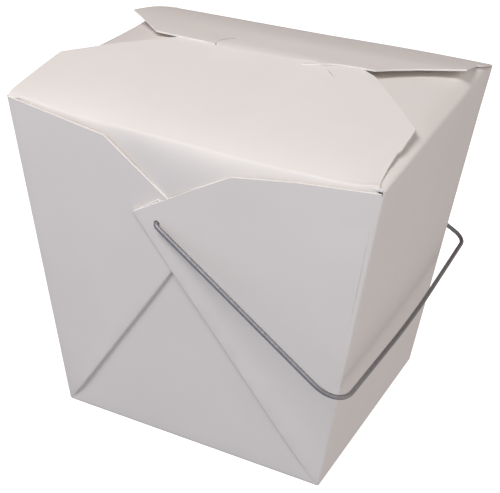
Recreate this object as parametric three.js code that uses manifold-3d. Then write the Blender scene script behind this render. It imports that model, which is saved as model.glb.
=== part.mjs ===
// A folded paperboard takeaway pail, shut, with a steel wire bail.
// Millimetres, +Z up. The origin is the middle of the base, on the surface it stands on.
// The front panel faces -Y and the bail hangs on the +X side.
import * as THREE from "three";
import { mergeVertices } from "three/addons/utils/BufferGeometryUtils.js";
import { ConvexGeometry } from "three/addons/geometries/ConvexGeometry.js";
import Module from "manifold-3d";

const wasm = await Module();
wasm.setup();

// ---- Driving dimensions -------------------------------------------------------------

// The pail flares from its base to its rim.
const rimWidth = 104;
const rimDepth = 87.7;
const baseWidth = 80.7;
const baseDepth = 71.4;
const height = 97.5;
const boardThickness = 0.5;
const cornerRadius = 1.2;
const baseFoldRadius = 0.6;
// How far the lid's own solids reach down inside the walls, and how far inside they stay.
const lidRoot = 6;
const lidRootInset = 1.2;

// The shut rim is pulled a little out of true: how far each corner stands from nominal.
const rimPull = {
  frontLeft: new THREE.Vector3(0.2, 0.1, 0),
  frontRight: new THREE.Vector3(0.8, 1.2, -1.4),
  backRight: new THREE.Vector3(-1.0, 0.3, 1.6),
  backLeft: new THREE.Vector3(0.2, -0.2, -0.8),
};

// Each end panel carries two corner gussets, folded flat over it. Places on an end panel are
// given as x, across it, and the distance down its slope from the rim.
const gussetTopDrop = 0.7;
const leftGusset = {
  cutEnd: { x: -22.5, down: 4.5 },
  tip: { x: 5.2, down: 25.7 },
  lift: 1.3,
};
const rightGusset = {
  cutEnd: { x: 16, down: 5.9 },
  tip: { x: -14.1, down: 24.9 },
  lift: 1.8,
};
const gussetCutLift = 0.7;
const gussetRoot = 2;

// The two end flaps rise from the front and back rims and meet as a low roof. Each has straight
// sides, slanted shoulders and a straight end. An outline corner is given as x along the fold and
// reach from it, and the rise at the flap's left and right as height at steps of reach. Left and
// right are as seen from outside the flap's own fold.
const frontFlap = {
  shoulderLeft: { x: -51.8, reach: 24.4 },
  endLeft: { x: -28.3, reach: 44.8 },
  endRight: { x: 27.5, reach: 47.4 },
  shoulderRight: { x: 49.5, reach: 26.3 },
  riseLeft: [[0, 0], [12, 2.1], [25, 4.2], [36, 5.8], [51, 7.2]],
  riseRight: [[0, 0], [12, 2.5], [25, 5.0], [36, 7.1], [51, 9.7]],
};
const backFlap = {
  shoulderLeft: { x: -50, reach: 21.4 },
  endLeft: { x: -31.5, reach: 41.3 },
  endRight: { x: 32.5, reach: 43.8 },
  shoulderRight: { x: 51.2, reach: 24.1 },
  riseLeft: [[0, 0], [8, 2.0], [16, 3.85], [23, 5.3], [33, 6.8], [43, 7.8], [51, 8.3]],
  riseRight: [[0, 0], [8, 2.0], [16, 3.85], [23, 5.3], [33, 6.8], [43, 7.8], [51, 8.3]],
};
// How far past the rim corners a flap's sheet runs before it is cut to its outline, and in how
// many spans. How much the cutter clears it above and below. How far the lid's filling stays
// under the sheet, and how far it runs past the middle of the lid.
const sheetOverrun = 4;
const sheetSpans = 8;
const cutterMargin = 10;
const fillingClearance = 0.1;
const fillingPastMiddle = 1;

// The front flap's middle tongue locks over the back flap, between two slits.
const tongue = { left: -15, right: 14, edgeY: 2.4, lap: 9 };

// The two side flaps bow up from the left and right rims under the end flaps.
const sideFlapBow = [[0, 0], [3, 1.4], [8, 3.3], [16, 5.6], [26, 7.4], [36, 8.6]];

// The bail is a wire hoop that turns in one hole through the gussets of each end panel.
const pivot = { x: -6.6, z: 72.0 };
const holeRadius = 1.15;
const holeDepth = 6.4;
const drillOverrun = 4;
const drillSides = 24;
const bail = {
  wireRadius: 0.65,
  wireSides: 12,
  steps: 132,
  legRootY: 44.5,
  legTipY: 50.2,
  frontReach: 65,
  backReach: 64,
  bulge: 1.5,
  hangAngle: 30.6,
  frontBend: 8,
  backBend: 3.5,
  crossBend: 500,
  hookBend: 1.2,
  hookLength: 4.8,
};

// ---- Solids -------------------------------------------------------------------------

function solidOf(geometry) {
  const bare = geometry.clone();
  bare.deleteAttribute("normal");
  bare.deleteAttribute("uv");
  const merged = mergeVertices(bare, 1e-4);
  return new wasm.Manifold(new wasm.Mesh({
    numProp: 3,
    vertProperties: new Float32Array(merged.attributes.position.array),
    triVerts: new Uint32Array(merged.index.array),
  }));
}

function geometryOf(solid) {
  const mesh = solid.getMesh();
  const geometry = new THREE.BufferGeometry();
  geometry.setAttribute("position", new THREE.BufferAttribute(mesh.vertProperties, 3));
  geometry.setIndex(new THREE.BufferAttribute(mesh.triVerts, 1));
  geometry.computeVertexNormals();
  return geometry;
}

function extrusion(outline, depth, matrix) {
  const shape = new THREE.Shape(outline.map(([x, y]) => new THREE.Vector2(x, y)));
  const geometry = new THREE.ExtrudeGeometry(shape, { depth, bevelEnabled: false });
  return solidOf(geometry.applyMatrix4(matrix));
}

// ---- Walls --------------------------------------------------------------------------

// Each corner is [side, end]: side is -1 at the left, end is -1 at the front.
const corners = [[-1, -1], [1, -1], [1, 1], [-1, 1]];

function cornerName(side, end) {
  return (end < 0 ? "front" : "back") + (side < 0 ? "Left" : "Right");
}

const rim = {};
for (const [side, end] of corners) {
  const name = cornerName(side, end);
  rim[name] = new THREE.Vector3(side * rimWidth / 2, end * rimDepth / 2, height).add(rimPull[name]);
}

function baseCorner(side, end, z = 0) {
  return new THREE.Vector3(side * baseWidth / 2, end * baseDepth / 2, z);
}

// Three points that round one vertical edge at the given corner.
function roundedEdge(corner, side, end, inset = 0) {
  const r = cornerRadius;
  const soft = r * (1 - Math.SQRT1_2);
  const place = (dx, dy) => corner.clone().add(
    new THREE.Vector3(-side * (dx + inset), -end * (dy + inset), 0));
  return [place(0, r), place(soft, soft), place(r, 0)];
}

function wallBlock() {
  const points = [];
  for (const [side, end] of corners) {
    points.push(...roundedEdge(baseCorner(side, end), side, end, baseFoldRadius));
    points.push(...roundedEdge(baseCorner(side, end, baseFoldRadius), side, end));
    points.push(...roundedEdge(rim[cornerName(side, end)], side, end));
  }
  return solidOf(new ConvexGeometry(points));
}

// ---- Gussets ------------------------------------------------------------------------

const endSlope = (rimDepth - baseDepth) / 2 / height;
const endTilt = Math.atan(endSlope);

// A point on the front panel's slope, lifted clear of it, or its mirror on the back panel.
function onEndPanel(end, place, lift) {
  const fromPanel = new THREE.Vector3(0, -Math.cos(endTilt), -Math.sin(endTilt));
  const point = new THREE.Vector3(
    place.x,
    -rimDepth / 2 + place.down * Math.sin(endTilt),
    height - place.down * Math.cos(endTilt),
  ).addScaledVector(fromPanel, lift);
  point.y *= -end;
  return point;
}

// A gusset stands proud of the panel by its full lift at the tip and not at all at the corner.
function gusset(end, side, sizes) {
  const fromEdge = new THREE.Vector3(-side * cornerRadius, 0, 0);
  const foot = baseCorner(side, end, baseFoldRadius).add(fromEdge);
  const head = rim[cornerName(side, end)].clone().add(fromEdge);
  head.z -= gussetTopDrop;
  const root = new THREE.Vector3(0, -end * gussetRoot, 0);
  return solidOf(new ConvexGeometry([
    foot,
    head,
    onEndPanel(end, sizes.cutEnd, sizes.lift * gussetCutLift),
    onEndPanel(end, sizes.tip, sizes.lift),
    foot.clone().add(root),
    head.clone().add(root),
    onEndPanel(end, sizes.cutEnd, -gussetRoot),
    onEndPanel(end, sizes.tip, -gussetRoot),
  ]));
}

// ---- Lid ----------------------------------------------------------------------------

// A frame on one rim: X along the rim from left to right, Y inward and level, Z up.
function rimFrame(left, right, inward) {
  const along = right.clone().sub(left).normalize();
  const middle = left.clone().add(right).multiplyScalar(0.5);
  const into = new THREE.Vector3(0, inward, 0);
  const matrix = new THREE.Matrix4().makeBasis(along, into, new THREE.Vector3(0, 0, 1));
  return matrix.setPosition(middle);
}

const frontFrame = rimFrame(rim.frontLeft, rim.frontRight, 1);
const backFrame = rimFrame(rim.backRight, rim.backLeft, -1);

// Stretches a solid along a rim between two side profiles of [distance from the fold, height].
// Both have as many points, and run clockwise as seen from the right end of the rim.
function alongRim(leftProfile, rightProfile, frame) {
  const half = rimWidth / 2 + sheetOverrun;
  const count = leftProfile.length;
  const positions = [];
  for (let span = 0; span <= sheetSpans; span++) {
    const share = span / sheetSpans;
    leftProfile.forEach(([reach, up], i) => {
      const [rightReach, rightUp] = rightProfile[i];
      positions.push(
        THREE.MathUtils.lerp(-half, half, share),
        THREE.MathUtils.lerp(reach, rightReach, share),
        THREE.MathUtils.lerp(up, rightUp, share),
      );
    });
  }
  const index = [];
  for (let first = 0; first < sheetSpans * count; first += count) {
    for (let i = 0; i < count; i++) {
      const here = first + i;
      const next = first + (i + 1) % count;
      index.push(here, here + count, next, next, here + count, next + count);
    }
  }
  const last = sheetSpans * count;
  const contour = leftProfile.map(([reach, up]) => new THREE.Vector2(reach, up));
  for (const [a, b, c] of THREE.ShapeUtils.triangulateShape(contour, [])) {
    index.push(a, c, b);
    index.push(last + a, last + b, last + c);
  }
  const geometry = new THREE.BufferGeometry();
  geometry.setAttribute("position", new THREE.Float32BufferAttribute(positions, 3));
  geometry.setIndex(index);
  return solidOf(geometry.applyMatrix4(frame));
}

// The outline of an end flap in plan, out from its fold.
function flapOutline(flap) {
  return [
    [flap.shoulderLeft.x, 0],
    [flap.shoulderRight.x, 0],
    [flap.shoulderRight.x, flap.shoulderRight.reach],
    [flap.endRight.x, flap.endRight.reach],
    [flap.endLeft.x, flap.endLeft.reach],
    [flap.shoulderLeft.x, flap.shoulderLeft.reach],
  ];
}

function flapSheet(flap, frame) {
  const section = (rise) => {
    const lower = rise.map(([reach, up]) => [reach, up - boardThickness]).reverse();
    return [...rise, ...lower];
  };
  const sheet = alongRim(section(flap.riseLeft), section(flap.riseRight), frame);
  const below = new THREE.Matrix4().makeTranslation(0, 0, -cutterMargin);
  const cutter = extrusion(flapOutline(flap), 3 * cutterMargin, frame.clone().multiply(below));
  return sheet.intersect(cutter);
}

// The height of a rise at a reach between two of its steps.
function heightAt(rise, reach) {
  const next = rise.findIndex(([step]) => step >= reach);
  const [fromReach, fromUp] = rise[next - 1];
  const [toReach, toUp] = rise[next];
  return THREE.MathUtils.mapLinear(reach, fromReach, toReach, fromUp, toUp);
}

// What fills the pail under one end flap, from its fold to just past the middle.
function underFlap(flap, frame) {
  const end = rimDepth / 2 + fillingPastMiddle;
  const section = (rise) => {
    const steps = rise.filter(([reach]) => reach < end);
    steps.push([end, heightAt(rise, end)]);
    const top = steps.map(([reach, up]) => [reach, up - fillingClearance]);
    return [...top, [end, -lidRoot], [lidRootInset, -lidRoot]];
  };
  return alongRim(section(flap.riseLeft), section(flap.riseRight), frame);
}

// Both side flaps together, as the one vault that their bow makes.
function sideFlapVault() {
  const points = [];
  for (const [side, end] of corners) {
    const corner = rim[cornerName(side, end)];
    const root = new THREE.Vector3(-side * lidRootInset, -end * lidRootInset, -lidRoot);
    points.push(...roundedEdge(corner, side, end), corner.clone().add(root));
    for (const [inward, up] of sideFlapBow.slice(1)) {
      points.push(corner.clone().add(new THREE.Vector3(-side * inward, 0, up)));
    }
  }
  return solidOf(new ConvexGeometry(points));
}

// The part of the back flap that lies out of sight under the front flap's tongue.
function underTongue() {
  const { left, right, edgeY, lap } = tongue;
  const outline = [[left, edgeY - lap], [right, edgeY - lap], [right, edgeY], [left, edgeY]];
  const aboveRim = new THREE.Matrix4().makeTranslation(0, 0, height);
  return extrusion(outline, 3 * cutterMargin, aboveRim);
}

function lid() {
  const filling = underFlap(frontFlap, frontFrame).add(underFlap(backFlap, backFrame));
  const front = flapSheet(frontFlap, frontFrame);
  const back = flapSheet(backFlap, backFrame).subtract(underTongue());
  return sideFlapVault().intersect(filling).add(front).add(back);
}

// ---- Carton -------------------------------------------------------------------------

function bailHole(end) {
  const length = holeDepth + drillOverrun;
  const drill = new THREE.CylinderGeometry(holeRadius, holeRadius, length, drillSides);
  const middle = end * (bail.legRootY + drillOverrun - length / 2);
  const place = new THREE.Matrix4().makeTranslation(pivot.x, middle, pivot.z);
  return solidOf(drill.applyMatrix4(place));
}

function carton() {
  let solid = wallBlock().add(lid());
  for (const end of [-1, 1]) {
    solid = solid.add(gusset(end, -1, leftGusset)).add(gusset(end, 1, rightGusset));
  }
  for (const end of [-1, 1]) {
    solid = solid.subtract(bailHole(end));
  }
  return solid;
}

// ---- Bail ---------------------------------------------------------------------------

// How near a bend's two handles come to its corner, for a bend that is close to an arc.
const roundness = 0.57;

// A curve through points joined by straight wire, with each inner point turned into a round bend.
function bentWire(points, bends) {
  const path = new THREE.CurvePath();
  let from = points[0];
  for (let i = 1; i < points.length - 1; i++) {
    const toward = points[i - 1].clone().sub(points[i]).normalize();
    const away = points[i + 1].clone().sub(points[i]).normalize();
    const half = toward.angleTo(away) / 2;
    const setback = bends[i - 1] / Math.tan(half);
    const start = points[i].clone().addScaledVector(toward, setback);
    const stop = points[i].clone().addScaledVector(away, setback);
    path.add(new THREE.LineCurve3(from, start));
    path.add(new THREE.CubicBezierCurve3(
      start,
      start.clone().lerp(points[i], roundness),
      stop.clone().lerp(points[i], roundness),
      stop,
    ));
    from = stop;
  }
  path.add(new THREE.LineCurve3(from, points[points.length - 1]));
  return path;
}

// Places a point of the hoop, given by its reach from the pivot line and its y.
function onHoop(reach, y) {
  const angle = THREE.MathUtils.degToRad(bail.hangAngle);
  return new THREE.Vector3(
    pivot.x + reach * Math.cos(angle), y, pivot.z - reach * Math.sin(angle));
}

function bailGeometry() {
  const hookY = bail.legRootY - bail.hookLength;
  const middleReach = (bail.frontReach + bail.backReach) / 2 + bail.bulge;
  const points = [
    onHoop(0, -hookY),
    onHoop(0, -bail.legRootY),
    onHoop(bail.frontReach, -bail.legTipY),
    onHoop(middleReach, 0),
    onHoop(bail.backReach, bail.legTipY),
    onHoop(0, bail.legRootY),
    onHoop(0, hookY),
  ];
  const bends = [bail.hookBend, bail.frontBend, bail.crossBend, bail.backBend, bail.hookBend];
  // An arc is divided into twice as many sides as curveSegments.
  const section = new THREE.Shape().absarc(0, 0, bail.wireRadius, 0, Math.PI * 2);
  return new THREE.ExtrudeGeometry(section, {
    steps: bail.steps,
    curveSegments: bail.wireSides / 2,
    bevelEnabled: false,
    extrudePath: bentWire(points, bends),
  });
}

// ---- Assembly -----------------------------------------------------------------------

const paperboard = new THREE.MeshStandardMaterial({ color: 0xe6dedb, roughness: 0.6, metalness: 0 });
const steelWire = new THREE.MeshStandardMaterial({ color: 0x9a9896, roughness: 0.25, metalness: 1 });

const group = new THREE.Group();

const cartonMesh = new THREE.Mesh(geometryOf(carton()), paperboard);
cartonMesh.name = "carton";
group.add(cartonMesh);

const bailMesh = new THREE.Mesh(bailGeometry(), steelWire);
bailMesh.name = "wire_bail";
group.add(bailMesh);

export default group;
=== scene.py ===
import math
import bmesh
import bpy
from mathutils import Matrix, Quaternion, Vector


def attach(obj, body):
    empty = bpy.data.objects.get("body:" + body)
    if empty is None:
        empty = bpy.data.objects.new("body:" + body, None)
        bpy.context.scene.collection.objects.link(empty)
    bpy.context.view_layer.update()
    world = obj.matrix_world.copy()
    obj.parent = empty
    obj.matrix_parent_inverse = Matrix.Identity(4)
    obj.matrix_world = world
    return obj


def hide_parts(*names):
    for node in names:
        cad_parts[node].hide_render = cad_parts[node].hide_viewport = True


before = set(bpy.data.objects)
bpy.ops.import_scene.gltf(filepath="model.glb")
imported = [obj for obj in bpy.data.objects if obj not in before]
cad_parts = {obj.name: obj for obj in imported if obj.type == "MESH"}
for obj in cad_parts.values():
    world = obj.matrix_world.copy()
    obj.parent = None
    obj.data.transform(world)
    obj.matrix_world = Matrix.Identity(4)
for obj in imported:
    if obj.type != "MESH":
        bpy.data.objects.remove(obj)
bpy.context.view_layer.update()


# ---- End boards -----------------------------------------------------------------------
# The pail is one die-cut blank of clay-coated paperboard, creased and folded without glue.
# Its front and back panels, each with the lid flap above it, are one strip through the base.
# The lid flaps lock in the middle: tongues and ears pass over and under each other at slits.

MM = 0.001
BOARD = 0.5

BASE_HALF_WIDTH = 40.35
BASE_HALF_DEPTH = 35.7
BASE_FOLD_RADIUS = 0.8
FRONT, BACK = -1, 1
LEFT, RIGHT = -1, 1
RIM = {
    (FRONT, LEFT): Vector((-51.8, -43.75, 97.5)), (FRONT, RIGHT): Vector((52.8, -42.65, 96.1)),
    (BACK, LEFT): Vector((-51.8, 43.65, 96.7)), (BACK, RIGHT): Vector((51.0, 44.15, 99.1)),
}
RIM_HALF_WIDTH = 52
END_RIM_Y = 43.85
END_RIM_HEIGHT = 97.5
END_TILT = math.atan((END_RIM_Y - BASE_HALF_DEPTH) / END_RIM_HEIGHT)
END_LENGTH = END_RIM_HEIGHT / math.cos(END_TILT)


def between(steps, at):
    """The value at a place on a line of (place, value) steps."""
    if at <= steps[0][0]:
        return steps[0][1]
    for (a, low), (b, high) in zip(steps, steps[1:]):
        if at <= b:
            return low + (high - low) * (at - a) / (b - a)
    return steps[-1][1]


def eased(steps, at):
    """As between, but turning smoothly from step to step."""
    if at <= steps[0][0]:
        return steps[0][1]
    last = len(steps) - 1
    for i in range(last):
        (a, low), (b, high) = steps[i], steps[i + 1]
        if at <= b:
            before = steps[max(i - 1, 0)]
            after = steps[min(i + 2, last)]
            span = b - a
            t = (at - a) / span
            slope_in = (high - before[1]) / (b - before[0]) * span
            slope_out = (after[1] - low) / (after[0] - a) * span
            return ((2 * t ** 3 - 3 * t ** 2 + 1) * low + (t ** 3 - 2 * t ** 2 + t) * slope_in
                    + (3 * t ** 2 - 2 * t ** 3) * high + (t ** 3 - t ** 2) * slope_out)
    return steps[-1][1]


def mix(a, b, share):
    """The value a share of the way from one to another."""
    return a + (b - a) * share


def hump(at, middle, spread):
    """A smooth hump, 1 at its middle, that dies away to either side."""
    return math.exp(-((at - middle) / spread) ** 2)


def past(at, edge, width):
    """Turns smoothly from 0 to 1 as a place passes an edge. A negative width turns it round."""
    return 1 / (1 + math.exp(-(at - edge) / width))


def along_curve(pulls, t):
    """A place on the smooth curve from the first point to the last, pulled by those between."""
    while len(pulls) > 1:
        pulls = [a.lerp(b, t) for a, b in zip(pulls, pulls[1:])]
    return pulls[0]


def on_end(end, x, down, lift):
    """A place on an end panel: x across it, down its slope from the rim, and lifted off it."""
    y = END_RIM_Y - down * math.sin(END_TILT) + lift * math.cos(END_TILT)
    z = END_RIM_HEIGHT - down * math.cos(END_TILT) - lift * math.sin(END_TILT)
    return Vector((x, end * y, z))


# A hair's breadth on the flat blank, whose whole width is 1. It tells a slit's two lips apart.
HAIR = 1e-5


def cut_blank(name, columns, rows):
    """A flat blank of board, ruled into columns and rows. Its places run from 0 to 1."""
    bpy.ops.object.select_all(action="DESELECT")
    bpy.ops.mesh.primitive_grid_add(x_subdivisions=columns, y_subdivisions=rows, size=1,
                                    location=(0.5, 0.5, 0))
    bpy.ops.object.transform_apply(location=True)
    blank = bpy.context.object
    blank.name = blank.data.name = name
    return blank


def slit(blank, place, start, stop):
    """Cuts a slit in the flat blank along the ruled line at a place, from start to stop."""
    bpy.ops.object.mode_set(mode="EDIT")
    bpy.ops.mesh.select_mode(type="EDGE")
    bpy.ops.mesh.select_all(action="DESELECT")
    sheet = bmesh.from_edit_mesh(blank.data)
    for edge in sheet.edges:
        edge.select_set(all(abs(v.co.x - place) < 10 * HAIR
                            and start - 10 * HAIR < v.co.y < stop + 10 * HAIR
                            for v in edge.verts))
    bpy.ops.mesh.edge_split(type="EDGE")
    # The lip that belongs to the cells on the left keeps a hair's breadth to the left.
    sheet = bmesh.from_edit_mesh(blank.data)
    for v in sheet.verts:
        if abs(v.co.x - place) < 10 * HAIR and len(v.link_faces) < 4 and all(
                f.calc_center_median().x < place for f in v.link_faces):
            v.co.x -= HAIR
    bmesh.update_edit_mesh(blank.data)
    bpy.ops.object.mode_set(mode="OBJECT")


def make_up(blank, rule):
    """Folds a blank up: moves each of its places to where the rule puts it, in millimetres."""
    for v in blank.data.vertices:
        v.co = rule(v.co.x, v.co.y) * MM


def thicken(piece, beside, outward):
    """Gives a folded sheet the board's thickness, inward from its coated side.

    The coated side is the one that faces outward beside the place given.
    """
    bpy.ops.object.select_all(action="DESELECT")
    bpy.context.view_layer.objects.active = piece
    piece.select_set(True)
    face = min(piece.data.polygons, key=lambda f: (f.center - beside * MM).length)
    if face.normal.dot(outward) < 0:
        bpy.ops.object.mode_set(mode="EDIT")
        bpy.ops.mesh.select_all(action="SELECT")
        bpy.ops.mesh.flip_normals()
        bpy.ops.object.mode_set(mode="OBJECT")
    wall = piece.modifiers.new("board", "SOLIDIFY")
    wall.thickness = BOARD * MM
    wall.offset = -1
    wall.material_offset_rim = 1
    bpy.ops.object.modifier_apply(modifier=wall.name)
    bpy.ops.object.shade_smooth_by_angle(angle=math.radians(35))


# The front fold sags below a straight line between its corners, and the back one stands above it.
# The panel's face swells out a little below its fold. Both go by x.
FOLD_DOWN = {
    FRONT: [(-51.8, 0.55), (-50, 0.35), (-47, 0.5), (-43.9, 0.85), (-38, 1.6), (-30.7, 2.15),
            (-24, 2.35), (-17.9, 2.1), (-3.3, 2.15), (5, 2.2), (12, 2.45), (24, 2.5), (33, 2.35),
            (38, 2.3), (45, 1.85), (51, 0.6)],
    BACK: [(-51.8, 0.8), (-35, 0.5), (0, -0.3), (15, -0.85), (30, -1.3), (42, -1.5), (51, -1.6)],
}
BULGE = {
    FRONT: [(-52, 0), (-24, 0), (-12, 0.3), (-2, 1.0), (8, 1.45), (16, 1.3), (24, 0.9),
            (33, 0.5), (42, 0.2), (50, 0)],
    BACK: [(-50, 0), (-38, 0.5), (-24, 0.9), (-10, 0.9), (5, 0.4), (24, 0), (52, 0)],
}
BULGE_DEPTH = 10
# The fold lies this far inside the rim's line, the band of front panel under it leans back from
# the gussets' cut edges, and a panel's upright edges are held back under the gussets.
FOLD_INSET = 0.15
FRONT_LEAN = 0.8
EDGE_HOLD = 0.6

# Each lid flap's outline, as stations from the fold to its end. A station is a place on the left
# edge and one on the right, as (x, reach in from the fold), and the rows up to the next station.
FLAP = {
    FRONT: [((-51.7, 0.6), (51.1, 0.6), 1), ((-51.7, 1.8), (50.6, 2), 2),
            ((-51.5, 7), (49.9, 8.8), 2), ((-51.3, 13.4), (49.6, 15.0), 1),
            ((-51.25, 15.2), (50.1, 16.8), 3), ((-50.9, 23.8), (50.0, 26.0), 4),
            ((-39.3, 34.5), (43.8, 32.8), 3), ((-30.8, 40.3), (31.5, 45.1), 2),
            ((-26.0, 43.8), (26.6, 47.9), 0)],
    BACK: [((-51.5, 0.6), (51.0, 0.6), 2), ((-51.3, 7.4), (50.9, 7.4), 1),
           ((-51.2, 10.3), (50.3, 10.3), 1), ((-51.2, 11.2), (49.5, 11.2), 4),
           ((-51.2, 25.3), (50.2, 23.5), 4), ((-42.2, 34.3), (39.0, 30.7), 3),
           ((-37.5, 39), (33.9, 35.5), 3), ((-33, 43.5), (30.6, 39.5), 0)],
}
# How high a lid flap stands above the rim, by its reach in from the fold.
FRONT_RISE_LEFT = [(0, 0), (12, 2.25), (25, 4.45), (36, 6.0), (45, 7.6)]
FRONT_RISE_RIGHT = [(0, 0), (12, 2.5), (25, 5.0), (36, 7.1), (51, 9.7)]
BACK_RISE = [(0, 0), (8, 2.0), (16, 3.85), (20, 4.75), (23.5, 5.42), (26.5, 5.85), (30.7, 6.2),
             (35.2, 6.62), (39.3, 7.1), (46, 7.5)]
BACK_RISE_LEFT = [(0, 0), (5.3, 1.6), (10.2, 3.05), (15, 4.25), (19, 5.05), (25.3, 6.2),
                  (34, 7.5), (45, 8.8)]
# How much further the end of a flap reaches than a straight line between its corners.
FLAP_END = {
    FRONT: [(-26, 0), (-20, -0.3), (-14, -1.3), (-9.7, -1.8), (-6.8, -1.85), (0, -1.6),
            (5.3, -1.8), (10, -1.6), (15, -0.8), (26, 0)],
    BACK: [(-33, 0), (-24, 0.7), (-14, 1.2), (0, 3.0), (13, 3.2), (17, 1.4), (21, 0.3), (31, 0)],
}
# Each flap's slit, as (x, reach) from its inner end to the flap's end, how far its left lip stands
# off in x and in reach where it gapes most, and the share of that along it.
SLIT = {
    FRONT: [(22.1, 40.6), (20.7, 42.1), (19.0, 43.4), (16.6, 44.6), (14.6, 45.6)],
    BACK: [(-11.5, 33.0), (-13.0, 35.7), (-14.2, 38.2), (-14.7, 40.6), (-14.6, 42.6),
           (-14.1, 44.1)],
}
SLIT_GAP = {FRONT: (0.36, 0.28), BACK: (0.34, 0.14)}
SLIT_OPENING = {FRONT: [(0.25, 1), (0.5, 1), (0.75, 0.3), (1, 0)],
                BACK: [(0.2, 0.45), (0.4, 1), (0.6, 0.3), (0.8, 0)]}


def rim_at(end, x):
    """The straight line between a rim's two corners."""
    left, right = RIM[end, LEFT], RIM[end, RIGHT]
    return left.lerp(right, (x - left.x) / (right.x - left.x))


def panel_lift(end, x, down):
    """How far an end panel stands off its true slope. Positive is outward."""
    fold_lift = (abs(rim_at(end, x).y) - END_RIM_Y) - FOLD_INSET
    lean = FRONT_LEAN * (1 - math.exp(-(52.5 - abs(x)) / 5)) if end == FRONT else 0
    below = max(down - eased(FOLD_DOWN[end], x), 0)
    swell = below / BULGE_DEPTH * math.exp(1 - below / BULGE_DEPTH)
    half = mix(BASE_HALF_WIDTH, RIM_HALF_WIDTH, 1 - down / END_LENGTH)
    held = EDGE_HOLD * math.exp(-(half - abs(x)) / 9) * min(1, (END_LENGTH - down) / 12)
    return (fold_lift * math.exp(-below / 9) - lean * math.exp(-below / 1.6)
            + eased(BULGE[end], x) * swell - held)


def panel_point(end, x, down):
    """A place on an end panel as it stands."""
    return on_end(end, x, down, panel_lift(end, x, down))


def flap_height(end, x, reach):
    """How high an end flap stands at a reach in from its fold line."""
    rim = rim_at(end, x)
    reach = max(reach, 0)
    if end == FRONT:
        across = (x + RIM_HALF_WIDTH) / (2 * RIM_HALF_WIDTH)
        rise = mix(eased(FRONT_RISE_LEFT, reach), eased(FRONT_RISE_RIGHT, reach), across)
        settle = 1.2 + 3.8 * min(1, max(0, (x + 51.8) / 10))
    else:
        rise = mix(eased(BACK_RISE, reach), eased(BACK_RISE_LEFT, reach), max(0, -x / 51.8))
        # Its right edge curls up a little.
        rise += 0.45 * math.exp(-abs(x - 50.5) / 4) * min(1, reach / 16)
        settle = 5
    sag = eased(FOLD_DOWN[end], x) - (END_RIM_HEIGHT - rim.z)
    return rim.z + rise - sag * math.exp(-reach / settle)


def flap_out(end, x, reach):
    """How far out an end flap stands at a reach. Its fold lies a little inside the rim's line."""
    rim = abs(rim_at(end, x).y)
    inside = rim - abs(panel_point(end, x, eased(FOLD_DOWN[end], x)).y)
    return rim - reach - inside * math.exp(-max(reach, 0) / 3)


def flap_place(end, x, reach, offset):
    """A place on an end flap as it lies, raised by an offset."""
    return Vector((x, end * flap_out(end, x, reach), flap_height(end, x, reach) + offset))


# The blank's ruled lines: rows along the base, round its folds, down each panel from the lid's
# fold, over that fold's crease and across each flap.
BASE_ROWS = 5
TURN_ROWS = 4
CREASE_DROP = 0.6
PANEL_DOWNS = [96, 92, 86, 78, 70, 62, 54, 47, 41, 36, 32, 28.5, 25, 22, 19, 16.5, 14, 12, 10.2,
               8.6, 7.2, 6.0, 5.0, 4.1, 3.3, 2.6, 1.9, 1.2, CREASE_DROP]
CREASE_STEPS = [0.2, 0.4, 0.6, 0.8]
END_COLUMNS = 84
SLIT_COLUMN = {FRONT: 66, BACK: 28}
SLIT_ROWS = {FRONT: 4, BACK: 5}


def flap_rows(flap):
    """A flap's rows, each the two ends of a line across it."""
    rows = [flap[0][:2]]
    for (l0, r0, count), (l1, r1, _) in zip(flap, flap[1:]):
        for i in range(1, count + 1):
            t = i / count
            rows.append(((mix(l0[0], l1[0], t), mix(l0[1], l1[1], t)),
                         (mix(r0[0], r1[0], t), mix(r0[1], r1[1], t))))
    return rows


FLAP_ROWS = {end: flap_rows(FLAP[end]) for end in (FRONT, BACK)}


def half_rows(end):
    """The rows of half the strip, from the middle of the base to the end of the lid flap."""
    rows = [("base", i / BASE_ROWS) for i in range(BASE_ROWS + 1)]
    rows += [("turn", i / TURN_ROWS) for i in range(1, TURN_ROWS + 1)]
    rows += [("panel", down) for down in PANEL_DOWNS]
    rows += [("crease", step) for step in CREASE_STEPS]
    rows += [("flap", row) for row in range(len(FLAP_ROWS[end]))]
    return [(end, kind, value) for kind, value in rows]


# The ruled lines beside a slit bend with it: over this share of the flap's width, and from this
# many slit lengths before its inner end.
SLIT_SPREAD = 0.06
SLIT_LEAD = 0.8


def flap_point(end, u, row):
    """A place on an end flap, as (x, reach), and how far along the slit its row lies."""
    (x0, r0), (x1, r1) = FLAP_ROWS[end][row]
    first = len(FLAP_ROWS[end]) - 1 - SLIT_ROWS[end]
    into = (row - first) / SLIT_ROWS[end]

    def ruled(share):
        x = mix(x0, x1, share)
        return x, mix(r0, r1, share) + eased(FLAP_END[end], x) * max(0, into) ** 2

    x, reach = ruled(u)
    if into > -SLIT_LEAD:
        slit_u = SLIT_COLUMN[end] / END_COLUMNS
        slit_x, slit_reach = ruled(slit_u)
        path = SLIT[end]
        t = max(into, 0) * (len(path) - 1)
        i = min(int(t), len(path) - 2)
        pull = hump(u, slit_u, SLIT_SPREAD) * min(1, (into + SLIT_LEAD) / SLIT_LEAD)
        x += (mix(path[i][0], path[i + 1][0], t - i) - slit_x) * pull
        reach += (mix(path[i][1], path[i + 1][1], t - i) - slit_reach) * pull
    return x, reach, max(into, 0)


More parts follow.
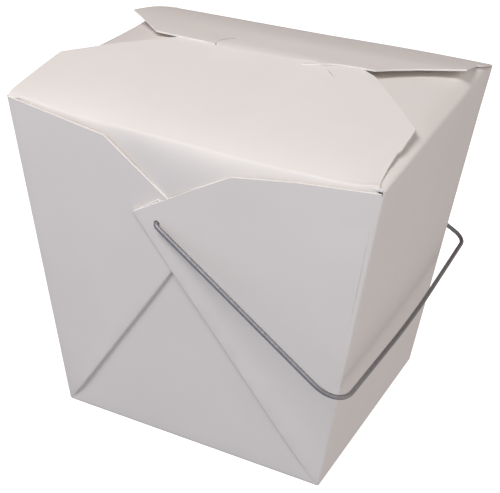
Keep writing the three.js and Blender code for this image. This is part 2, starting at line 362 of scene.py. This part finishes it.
def flap_offset(end, x, into, left_lip):
    """How the tongue, ear and wing beside a flap's slit bend over and under the other flap."""
    if end == FRONT:
        if left_lip:
            rise = 0.3 + 0.1 * hump(x, -10, 5) + 0.3 * hump(x, 15, 5)
            return into * rise * past(x, -14, 0.4)
        return -0.1 * into * hump(x, 17, 8)
    if left_lip:
        return 0
    late = 5 + 4 * hump(x, -14.5, 1.2)
    return -into ** late * past(x, 13, -2) - 0.2 * hump(x, -12.5, 1.5) * min(1, 4 * into)


# How far the strip's edges stand in from the upright corners, inside the gussets.
TURN_INSET = 0.35
EDGE_INSET = 0.8


def end_place(u, v):
    """Where a place of the strip lies on the made-up pail."""
    end, kind, value = STRIP_ROWS[round(v * strip_spans)]
    half = BASE_HALF_WIDTH - (TURN_INSET if kind == "turn" or value == 1 else EDGE_INSET)
    r = BASE_FOLD_RADIUS
    if kind == "base":
        return Vector((mix(-half, half, u), end * value * (BASE_HALF_DEPTH - r), 0))
    if kind == "turn":
        angle = value * (math.pi / 2 - END_TILT)
        y = BASE_HALF_DEPTH - r + r * math.sin(angle)
        return Vector((mix(-half, half, u), end * y, r - r * math.cos(angle)))
    left, right = rim_at(end, -51.8), rim_at(end, 52.0)
    up = 1 - (value if kind == "panel" else 0) / END_LENGTH
    inset = EDGE_INSET
    if kind == "panel":
        inset = mix(TURN_INSET, EDGE_INSET, min(1, (END_LENGTH - value) / 8))
    x0 = mix(-BASE_HALF_WIDTH, left.x, up) + inset
    x1 = mix(BASE_HALF_WIDTH, right.x, up) - inset
    x = mix(x0, x1, u)
    fold = eased(FOLD_DOWN[end], x)
    start = fold + CREASE_DROP
    if kind == "panel":
        stretch = (END_LENGTH - start) / (END_LENGTH - CREASE_DROP)
        return panel_point(end, x, start + (value - CREASE_DROP) * stretch)
    if kind == "crease":
        low = panel_point(end, x, start)
        x, reach, _ = flap_point(end, u, 0)
        return along_curve([low, panel_point(end, x, fold), flap_place(end, x, reach, 0)], value)
    x, reach, into = flap_point(end, u, value)
    before_slit = SLIT_COLUMN[end] / END_COLUMNS - u
    left_lip = before_slit > HAIR / 10
    if left_lip and before_slit < 10 * HAIR and into > 0:
        open_by = between(SLIT_OPENING[end], into)
        x -= SLIT_GAP[end][0] * open_by
        reach -= SLIT_GAP[end][1] * open_by
    return flap_place(end, x, reach, flap_offset(end, x, into, left_lip))


STRIP_ROWS = half_rows(FRONT)[::-1] + half_rows(BACK)[1:]
strip_spans = len(STRIP_ROWS) - 1
end_boards = cut_blank("end_boards", END_COLUMNS, strip_spans)
slit(end_boards, SLIT_COLUMN[FRONT] / END_COLUMNS, -1, SLIT_ROWS[FRONT] / strip_spans)
slit(end_boards, SLIT_COLUMN[BACK] / END_COLUMNS, 1 - SLIT_ROWS[BACK] / strip_spans, 2)
make_up(end_boards, end_place)


def paperboard(name, tint, roughness, fibre):
    """Clay-coated white board: a faint cloudy tone, a satin coat and a fine fibre tooth."""
    material = bpy.data.materials.new(name)
    material.use_nodes = True
    nodes, links = material.node_tree.nodes, material.node_tree.links
    shader = nodes["Principled BSDF"]
    where = nodes.new("ShaderNodeTexCoord")
    cloud = nodes.new("ShaderNodeTexNoise")
    cloud.inputs["Scale"].default_value = 55
    cloud.inputs["Detail"].default_value = 3
    links.new(where.outputs["Object"], cloud.inputs["Vector"])
    tone = nodes.new("ShaderNodeValToRGB")
    tone.color_ramp.elements[0].position = 0.3
    tone.color_ramp.elements[0].color = tuple(c * 0.975 for c in tint) + (1,)
    tone.color_ramp.elements[1].position = 0.7
    tone.color_ramp.elements[1].color = tint + (1,)
    links.new(cloud.outputs["Fac"], tone.inputs["Fac"])
    links.new(tone.outputs["Color"], shader.inputs["Base Color"])
    grain = nodes.new("ShaderNodeTexNoise")
    grain.inputs["Scale"].default_value = 1400
    grain.inputs["Detail"].default_value = 4
    links.new(where.outputs["Object"], grain.inputs["Vector"])
    gloss = nodes.new("ShaderNodeMapRange")
    gloss.inputs["To Min"].default_value = roughness - 0.06
    gloss.inputs["To Max"].default_value = roughness + 0.06
    links.new(grain.outputs["Fac"], gloss.inputs["Value"])
    links.new(gloss.outputs["Result"], shader.inputs["Roughness"])
    tooth = nodes.new("ShaderNodeBump")
    tooth.inputs["Strength"].default_value = fibre
    tooth.inputs["Distance"].default_value = 0.00004
    links.new(grain.outputs["Fac"], tooth.inputs["Height"])
    links.new(tooth.outputs["Normal"], shader.inputs["Normal"])
    shader.inputs["Specular IOR Level"].default_value = 0.4
    return material


board_face = paperboard("coated_board", (0.845, 0.79, 0.74), 0.5, 0.5)
board_edge = paperboard("cut_board_edge", (0.9, 0.86, 0.82), 0.85, 1.0)
end_boards.data.materials.append(board_face)
end_boards.data.materials.append(board_edge)
thicken(end_boards, Vector((0, -39, 40)), Vector((0, -1, 0)))
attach(end_boards, "carton")
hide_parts("carton")


# ---- Side wraps -----------------------------------------------------------------------
# The other two arms of the same board blank. Each side panel carries a lid flap above, a tuck
# inside the base and a gusset at either upright edge. The gussets fold flat over the end panels,
# doubled along their slanted folds, the right over the left, and the wire's holes pin them there.

# How far a side's lid flap bows up above its fold, by how far in from it.
FLAP_BOW = {
    LEFT: [(0, 0), (3, 1.4), (8, 3.3), (16, 5.6), (26, 7.4), (36, 8.6)],
    RIGHT: [(0, 0), (1.5, 1.5), (3.4, 2.9), (5, 3.55), (7, 4.0), (10, 4.25), (13, 4.4),
            (18, 4.8), (24, 5.5), (36, 6.7)],
}
# How far it dips a little in from that fold, from front to back.
FLAP_DIP = [(-44, 0.5), (-40, 1.0), (-36, 1.45), (-31, 1.7), (-26, 1.45), (-19, 0.85), (-9, 0.15),
            (0, 0), (14, 0), (20, -0.5), (26, -1.3), (32, -1.6), (38, -1.4), (44, -0.6)]
CORNER_RADIUS = 0.58
# A gusset's cut top edge, the foot and top of its slanted fold, as (x, down), and how far it
# stands off the end panel along that fold and between the fold and the corner, by level.
GUSSETS = {
    LEFT: {
        "cut": [(-51.6, 0.8), (-21.9, 4.35), (-4.0, 17.7), (5.2, 24.6)],
        "foot": (-40.35, 97.84), "fold": (-3.3, 39.3),
        "fold_lift": [(0, 1.3), (17, 1.1), (25, 1.02), (39, 1.05), (90, 1.0), (93.5, 0.6),
                      (95.5, 0.15), (98, 0)],
        "bulge": [(0, 0.45), (17, 0.3), (40, 0.1), (98, 0)],
    },
    RIGHT: {
        "cut": [(52.8, 0.8), (31.0, 4.15), (18.6, 5.2), (17.2, 5.4), (16.0, 5.8), (14.7, 6.5),
                (3.2, 13.3), (-13.2, 23.6)],
        "foot": (40.35, 97.84), "fold": (-2.6, 38.6),
        "fold_lift": [(0, 2.4), (23.5, 1.98), (38, 2.0), (44, 1.8), (60, 1.3), (78, 1.02),
                      (86, 0.75), (94, 0.3), (98, 0)],
        "bulge": [(0, 0.7), (13, 0.6), (40, 0.2), (98, 0)],
    },
}


def fold_x(gusset, down):
    """Where a gusset's slanted fold, or its line carried on upward, crosses a level."""
    (fx, fd), (gx, gd) = gusset["foot"], gusset["fold"]
    return fx + (gx - fx) * (down - fd) / (gd - fd)


def edge_at(side, end, down):
    """A corner's upright edge at a level, as x and its lift off the end panel's slope."""
    corner = RIM[end, side]
    up = 1 - down / END_LENGTH
    return mix(side * BASE_HALF_WIDTH, corner.x, up), (abs(corner.y) - END_RIM_Y) * up


def gusset_lift(gusset, side, end, x, down):
    """How far a gusset stands off the end panel's slope."""
    edge_x, edge_lift = edge_at(side, end, down)
    t = (edge_x - x) / (edge_x - fold_x(gusset, down) + side * 1e-4)
    t = min(max(t, 0), 1.3)
    lift = mix(edge_lift, between(gusset["fold_lift"], down), t)
    return lift + between(gusset["bulge"], down) * 4 * t * max(1 - t, 0)


# The blank's ruled lines, across it from gusset to gusset and up it from the tuck to the lid
# flap's edge. A gusset is ruled out to this far past the pail's middle, then cut.
GUSSET_REACH = 22
GUSSET_SPANS = 26
CORNER_SPANS = 4
SIDE_SPANS = 30
WALL_DOWNS = [97.3, 96.0, 94, 91, 87, 82, 77, 72, 67, 62, 57, 52, 47, 42.5, 38.5, 35, 31.5, 28, 25,
              22, 19, 16.5, 14, 12, 10, 8.4, 7, 5.8, 4.8, 3.9, 3.1, 2.4, 1.8, 1.3, 0.9, 0.55]
RIDGE_SPANS = 5
FLAP_INWARDS = [1.6, 2.5, 3.4, 4.4, 5.6, 7, 8.8, 11, 14, 17.5, 21, 25, 29, 33, 36]
GUSSET_MARK = {FRONT: 1, BACK: 2}
TUCK = 3.0
WALL_BOW = 0.25
# The lid flap keeps this clear of the end flaps over it, and nears them in a smooth turn.
FLAP_GAP = 0.15
FLAP_NEARING = 0.06


def side_board(side):
    """One side panel with its two gussets, its lid flap and its tuck inside the base."""
    rows = [("tuck", 1.0), ("tuck", 0.4)]
    rows += [("wall", down) for down in WALL_DOWNS]
    rows += [("ridge", i / RIDGE_SPANS) for i in range(1, RIDGE_SPANS)]
    rows += [("flap", inward) for inward in FLAP_INWARDS]
    columns = [("front", 1 - i / GUSSET_SPANS) for i in range(GUSSET_SPANS)]
    columns += [("front_corner", i / CORNER_SPANS) for i in range(CORNER_SPANS)]
    columns += [("side", i / SIDE_SPANS) for i in range(SIDE_SPANS + 1)]
    columns += [("back_corner", 1 - i / CORNER_SPANS) for i in range(1, CORNER_SPANS)]
    columns += [("back", i / GUSSET_SPANS) for i in range(GUSSET_SPANS + 1)]
    wide, high = len(columns) - 1, len(rows) - 1
    piece = cut_blank("left_side_board" if side == LEFT else "right_side_board", wide, high)
    walls = [i for i, row in enumerate(rows) if row[0] == "wall"]

    # The die cuts away the blank beside the lid flap and beside the tuck. The gussets are marked.
    bpy.ops.object.mode_set(mode="EDIT")
    bpy.ops.mesh.select_mode(type="FACE")
    sheet = bmesh.from_edit_mesh(piece.data)
    side_from, side_to = GUSSET_SPANS + CORNER_SPANS, GUSSET_SPANS + CORNER_SPANS + SIDE_SPANS
    for face in sheet.faces:
        middle = face.calc_center_median()
        column, row = middle.x * wide, middle.y * high
        off_wall = row < walls[0] or row > walls[-1]
        face.select_set(off_wall and not side_from < column < side_to)
        if column < GUSSET_SPANS:
            face.material_index = GUSSET_MARK[FRONT]
        elif column > wide - GUSSET_SPANS:
            face.material_index = GUSSET_MARK[BACK]
    bpy.ops.mesh.delete(type="FACE")
    bpy.ops.object.mode_set(mode="OBJECT")

    gusset = GUSSETS[side]
    front, back = RIM[FRONT, side], RIM[BACK, side]

    def wall_point(share, down):
        """A place on the side panel, share of the way from its front to its back."""
        up = 1 - down / END_LENGTH
        low_front = Vector((side * BASE_HALF_WIDTH, -BASE_HALF_DEPTH, 0))
        low_back = Vector((side * BASE_HALF_WIDTH, BASE_HALF_DEPTH, 0))
        point = low_front.lerp(front, up).lerp(low_back.lerp(back, up), share)
        point.x += side * WALL_BOW * math.sin(math.pi * share) * math.sin(math.pi * up)
        return point

    def end_point(end, share, down):
        """A place on a gusset, share of the way out from the upright edge."""
        edge_x, edge_lift = edge_at(side, end, down)
        x = mix(edge_x - side * CORNER_RADIUS, -side * GUSSET_REACH, share)
        return on_end(end, x, down, gusset_lift(gusset, side, end, x, down))

    def wall_place(kind, value, down):
        """A place on the side panel, on a gusset or on the rounded corner between the two."""
        inset = CORNER_RADIUS / (2 * mix(BASE_HALF_DEPTH, END_RIM_Y, 1 - down / END_LENGTH))
        if kind == "side":
            return wall_point(mix(inset, 1 - inset, value), down)
        end = FRONT if kind.startswith("front") else BACK
        if kind in ("front", "back"):
            return end_point(end, value, down)
        corner = 0 if end == FRONT else 1
        return along_curve([end_point(end, 0, down), wall_point(corner, down),
                            wall_point(mix(inset, 1 - inset, corner), down)], value)

    def pressed(point):
        """Holds a place of the lid flap or its fold down under the end flaps."""
        rim = wall_point(0.5, 0).x
        cover = min(1, max(0, side * (rim - point.x) - 0.1) / 0.5)
        for end in (FRONT, BACK):
            reach = max(0, abs(rim_at(end, point.x).y) - end * point.y)
            limit = flap_height(end, point.x, reach) - (BOARD + FLAP_GAP) * cover
            gap = limit - point.z
            point.z = 0.5 * (point.z + limit - math.sqrt(gap ** 2 + FLAP_NEARING))
        return point

    def lid_place(share, inward):
        """A place on the side's lid flap, which bows up but stays under the end flaps."""
        taper = 0.35 + 0.25 * max(0, inward - 2)
        y = mix(front.y + taper, back.y - taper, share)
        rim = front.lerp(back, (y - front.y) / (back.y - front.y))
        bow = eased(FLAP_BOW[side], inward) - eased(FLAP_DIP, y) * hump(inward, 3.2, 2.2)
        return pressed(Vector((rim.x - side * inward, y, rim.z + bow)))

    def side_place(u, v):
        """Where a place of the blank lies on the made-up pail."""
        kind, value = columns[round(u * wide)]
        row, at = rows[round(v * high)]
        if row == "wall":
            return wall_place(kind, value, at)
        share = value if kind == "side" else (0 if kind.startswith("front") else 1)
        if row == "tuck":
            low = wall_place("side", share, WALL_DOWNS[0])
            return Vector((low.x - side * TUCK * at, low.y * 0.985, BOARD))
        if row == "flap":
            return lid_place(share, at)
        top = wall_place("side", share, WALL_DOWNS[-1])
        start = lid_place(share, FLAP_INWARDS[0])
        rise = (top - wall_place("side", share, WALL_DOWNS[-2])).normalized()
        slope = (lid_place(share, FLAP_INWARDS[1]) - start).normalized()
        pull = (start - top).length * 0.4
        return pressed(along_curve([top, top + rise * pull, start - slope * pull, start], at))

    make_up(piece, side_place)

    for end in (FRONT, BACK):
        trim_gusset(piece, gusset, side, end)
    for face in piece.data.polygons:
        face.material_index = 0
    return piece


# A gusset's slanted fold is rolled to this radius, with less of it near its foot, and its under
# ply runs back this far behind the gusset.
FOLD_RADIUS = 0.52
FOOT_SHARE = 0.53
ROLL_STEPS = 8
UNDER_PLY = 4.5
UNDER_PLY_STEPS = 2


def trim_gusset(piece, gusset, side, end):
    """Cuts one gusset to its outline, then doubles it back under along its slanted fold."""
    def at(place):
        return on_end(end, place[0], place[1], gusset_lift(gusset, side, end, *place))

    outward = (on_end(end, 0, 50, 1) - on_end(end, 0, 50, 0)).normalized()
    inside = at((gusset["foot"][0] * 0.8, 40))
    foot = on_end(end, gusset["foot"][0], gusset["foot"][1], 0)
    fold = at(gusset["fold"])
    corners = [at(place) for place in gusset["cut"]]
    bpy.ops.object.select_all(action="DESELECT")
    bpy.context.view_layer.objects.active = piece
    piece.select_set(True)
    bpy.ops.object.mode_set(mode="EDIT")
    for a, b in list(zip(corners, corners[1:])) + [(foot, fold)]:
        across = (b - a).cross(outward).normalized()
        if across.dot(inside - a) > 0:
            across = -across
        bpy.ops.mesh.select_mode(type="FACE")
        bpy.ops.mesh.select_all(action="DESELECT")
        for face in bmesh.from_edit_mesh(piece.data).faces:
            face.select_set(face.material_index == GUSSET_MARK[end])
        bpy.ops.mesh.bisect(plane_co=a * MM, plane_no=across, clear_outer=True, threshold=1e-7)

    # The fold rolls over, then its under ply runs back between the gusset and the panel.
    bpy.ops.mesh.select_mode(type="EDGE")
    bpy.ops.mesh.select_all(action="DESELECT")
    for edge in bmesh.from_edit_mesh(piece.data).edges:
        edge.select_set(edge.is_boundary and all(
            abs((v.co / MM - foot).dot(across)) < 0.02 and end * v.co.y > 0.03
            for v in edge.verts))
    line = (fold - foot).normalized()
    for step in range(ROLL_STEPS + UNDER_PLY_STEPS):
        bpy.ops.mesh.extrude_edges_move()
        sheet = bmesh.from_edit_mesh(piece.data)
        before, after = math.pi * step / ROLL_STEPS, math.pi * (step + 1) / ROLL_STEPS
        rolled = (across * (math.sin(after) - math.sin(before))
                  + outward * (math.cos(after) - math.cos(before))) * FOLD_RADIUS
        for v in sheet.verts:
            if not v.select:
                continue
            along = (v.co / MM - foot).dot(line)
            if step < ROLL_STEPS:
                v.co += rolled * min(1, max((along - 1.8) / 5, FOOT_SHARE)) * MM
            else:
                v.co -= across * (UNDER_PLY * min(1, max(along, 0) / 30) * MM)
        bmesh.update_edit_mesh(piece.data)
    bpy.ops.object.mode_set(mode="OBJECT")


HOLE = Vector((-6.6, 0, 72.0))
HOLE_RADIUS = 0.82


def punch(piece):
    """Punches the bail's hole through the front and back of a folded board."""
    bpy.ops.mesh.primitive_cylinder_add(vertices=40, radius=HOLE_RADIUS * MM, depth=0.12,
                                        location=HOLE * MM, rotation=(math.pi / 2, 0, 0))
    pin = bpy.context.object
    hole = piece.modifiers.new("hole", "BOOLEAN")
    hole.object = pin
    hole.solver = "MANIFOLD"
    bpy.context.view_layer.objects.active = piece
    bpy.ops.object.modifier_apply(modifier=hole.name)
    bpy.data.objects.remove(pin)


for side in (LEFT, RIGHT):
    board = side_board(side)
    board.data.materials.append(board_face)
    board.data.materials.append(board_edge)
    thicken(board, Vector((side * 46, 0, 50)), Vector((side, 0, 0)))
    punch(board)
    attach(board, "carton")
    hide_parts("carton")
punch(end_boards)


# ---- Wire bail ------------------------------------------------------------------------
# The carrying handle is one length of bright drawn steel wire, bent to a hoop. Each end is
# turned in through the punched hole of an end panel's gussets, where it swings.

WIRE_RADIUS = 0.64
HANG = math.radians(30.6)
WIRE_END_Y = 39.7
LEG_ROOT_Y = 44.5


def hoop(reach, y):
    """A place in the hoop's plane, as its reach from the line through the holes, and its y."""
    return Vector((HOLE.x + reach * math.cos(HANG), y, HOLE.z - reach * math.sin(HANG)))


# The grip bows out a little between the hoop's two corners, of which the front one is softer.
hoop_corners = [hoop(0, -WIRE_END_Y), hoop(0, -LEG_ROOT_Y), hoop(65, -50.15), hoop(66, 0),
                hoop(64, 50.2), hoop(0, LEG_ROOT_Y), hoop(0, WIRE_END_Y)]
hoop_bends = [1.2, 8, 500, 3.5, 1.2]


def bent(corners, bends, steps):
    """The wire's line through its corners, each turned in a round bend."""
    line = [corners[0]]
    for before, corner, after, radius in zip(corners, corners[1:], corners[2:], bends):
        toward, away = (before - corner).normalized(), (after - corner).normalized()
        setback = radius / math.tan(toward.angle(away) / 2)
        a, b = corner + toward * setback, corner + away * setback
        pulls = [a, a.lerp(corner, 0.57), b.lerp(corner, 0.57), b]
        line += [along_curve(pulls, k / steps) for k in range(steps + 1)]
    line.append(corners[-1])
    return line


BEND_STEPS = 14
STRAIGHT_STEP = 2.5
bends_line = bent(hoop_corners, hoop_bends, BEND_STEPS)
wire_line = []
for a, b in zip(bends_line, bends_line[1:]):
    pieces = max(1, round((b - a).length / STRAIGHT_STEP))
    wire_line += [a.lerp(b, k / pieces) for k in range(pieces)]
wire_line.append(bends_line[-1])

shape = bpy.data.curves.new("wire_bail_line", "CURVE")
shape.dimensions = "3D"
spline = shape.splines.new("POLY")
spline.points.add(len(wire_line) - 1)
for point, place in zip(spline.points, wire_line):
    point.co = (*(place * MM), 1)
shape.bevel_depth = WIRE_RADIUS * MM
shape.bevel_resolution = 6
shape.use_fill_caps = True
bail = bpy.data.objects.new("steel_bail", shape)
bpy.context.scene.collection.objects.link(bail)
bpy.ops.object.select_all(action="DESELECT")
bpy.context.view_layer.objects.active = bail
bail.select_set(True)
bpy.ops.object.convert(target="MESH")
bail = bpy.context.object
bail.name = "steel_bail"
bpy.ops.object.shade_smooth_by_angle(angle=math.radians(40))

steel = bpy.data.materials.new("drawn_steel")
steel.use_nodes = True
steel_nodes, steel_links = steel.node_tree.nodes, steel.node_tree.links
steel_shader = steel_nodes["Principled BSDF"]
steel_shader.inputs["Metallic"].default_value = 1
steel_shader.inputs["Roughness"].default_value = 0.6
steel_where = steel_nodes.new("ShaderNodeTexCoord")
steel_noise = steel_nodes.new("ShaderNodeTexNoise")
steel_noise.inputs["Scale"].default_value = 900
steel_links.new(steel_where.outputs["Object"], steel_noise.inputs["Vector"])
steel_tone = steel_nodes.new("ShaderNodeValToRGB")
steel_tone.color_ramp.elements[0].color = (0.27, 0.26, 0.27, 1)
steel_tone.color_ramp.elements[1].color = (0.45, 0.44, 0.45, 1)
steel_links.new(steel_noise.outputs["Fac"], steel_tone.inputs["Fac"])
steel_links.new(steel_tone.outputs["Color"], steel_shader.inputs["Base Color"])
bail.data.materials.append(steel)
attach(bail, "bail")
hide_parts("wire_bail")


# ---- Floor, light and camera ----------------------------------------------------------
# The pail stands on a plain white floor with a white backdrop all round, which only the camera
# sees. Soft studio light falls on it from above the front, and from soft walls on every side.

bpy.ops.object.select_all(action="DESELECT")
bpy.ops.mesh.primitive_plane_add(size=8)
floor = bpy.context.object
floor.name = "floor"
white = bpy.data.materials.new("white_surround")
white.use_nodes = True
white_shader = white.node_tree.nodes["Principled BSDF"]
white_shader.inputs["Base Color"].default_value = (0.9, 0.9, 0.9, 1)
white_shader.inputs["Roughness"].default_value = 0.9
white_shader.inputs["Emission Color"].default_value = (1, 1, 1, 1)
white_shader.inputs["Emission Strength"].default_value = 1.0
bpy.ops.mesh.primitive_cylinder_add(vertices=96, radius=3.9, depth=6, location=(0, 0, 3),
                                    end_fill_type="NOTHING")
backdrop = bpy.context.object
backdrop.name = "backdrop"
for surround in (floor, backdrop):
    surround.data.materials.append(white)
    surround.visible_diffuse = surround.visible_glossy = surround.visible_shadow = False


def lamp(name, toward, distance, size, power, colour):
    """A soft box that stands off in a direction and faces the pail."""
    data = bpy.data.lights.new(name, "AREA")
    data.size = size
    data.energy = power
    data.color = colour
    light = bpy.data.objects.new(name, data)
    bpy.context.scene.collection.objects.link(light)
    direction = Vector(toward).normalized()
    light.location = Vector((0, 0, 0.06)) + direction * distance
    light.rotation_euler = (-direction).to_track_quat("-Z", "Y").to_euler()


lamp("key", (-0.119, -0.561, 0.819), 0.8, 0.3, 4.25, (1.0, 1.0, 1.0))
lamp("fill", (0.943, -0.33, 0.047), 0.212, 0.1, 0.022, (1.0, 0.96, 0.95))

# Each wall's glow by the direction it stands in. It fades to nothing at a right angle from there.
SOFT_WALLS = {(1, 0, 0): (0.645, 0.59, 0.56), (-1, 0, 0): (0.37, 0.27, 0.28),
              (0, 1, 0): (0.16, 0.16, 0.16), (0, -1, 0): (0.18, 0.25, 0.325),
              (0, 0, -1): (0.12, 0.12, 0.16)}

world = bpy.data.worlds.new("studio")
bpy.context.scene.world = world
world.use_nodes = True
sky_nodes, sky_links = world.node_tree.nodes, world.node_tree.links
sky_where = sky_nodes.new("ShaderNodeTexCoord")
glow = None
for toward, colour in SOFT_WALLS.items():
    facing = sky_nodes.new("ShaderNodeVectorMath")
    facing.operation = "DOT_PRODUCT"
    facing.inputs[1].default_value = toward
    sky_links.new(sky_where.outputs["Generated"], facing.inputs[0])
    tint = sky_nodes.new("ShaderNodeVectorMath")
    tint.operation = "SCALE"
    tint.inputs[0].default_value = colour
    ahead = sky_nodes.new("ShaderNodeMath")
    ahead.operation = "MAXIMUM"
    ahead.inputs[1].default_value = 0
    sky_links.new(facing.outputs["Value"], ahead.inputs[0])
    sky_links.new(ahead.outputs["Value"], tint.inputs["Scale"])
    if glow:
        both = sky_nodes.new("ShaderNodeVectorMath")
        sky_links.new(glow, both.inputs[0])
        sky_links.new(tint.outputs["Vector"], both.inputs[1])
        glow = both.outputs["Vector"]
    else:
        glow = tint.outputs["Vector"]
sky_links.new(glow, sky_nodes["Background"].inputs["Color"])
bpy.context.scene.view_settings.view_transform = "Standard"

camera_data = bpy.data.cameras.new("camera")
camera_data.lens = 89.85
camera_data.sensor_width = 36
camera = bpy.data.objects.new("camera", camera_data)
bpy.context.scene.collection.objects.link(camera)
camera.location = Vector((135.224, -285.454, 221.641)) * MM
camera.rotation_mode = "QUATERNION"
# It is turned round the pail, tipped down at it and rolled a little.
aim = Quaternion()
for axis, degrees in (((0, 0, 1), 25.48), ((1, 0, 0), 90 - 29.02), ((0, 0, 1), 2.87)):
    aim = aim @ Quaternion(axis, math.radians(degrees))
camera.rotation_quaternion = aim
bpy.context.scene.camera = camera
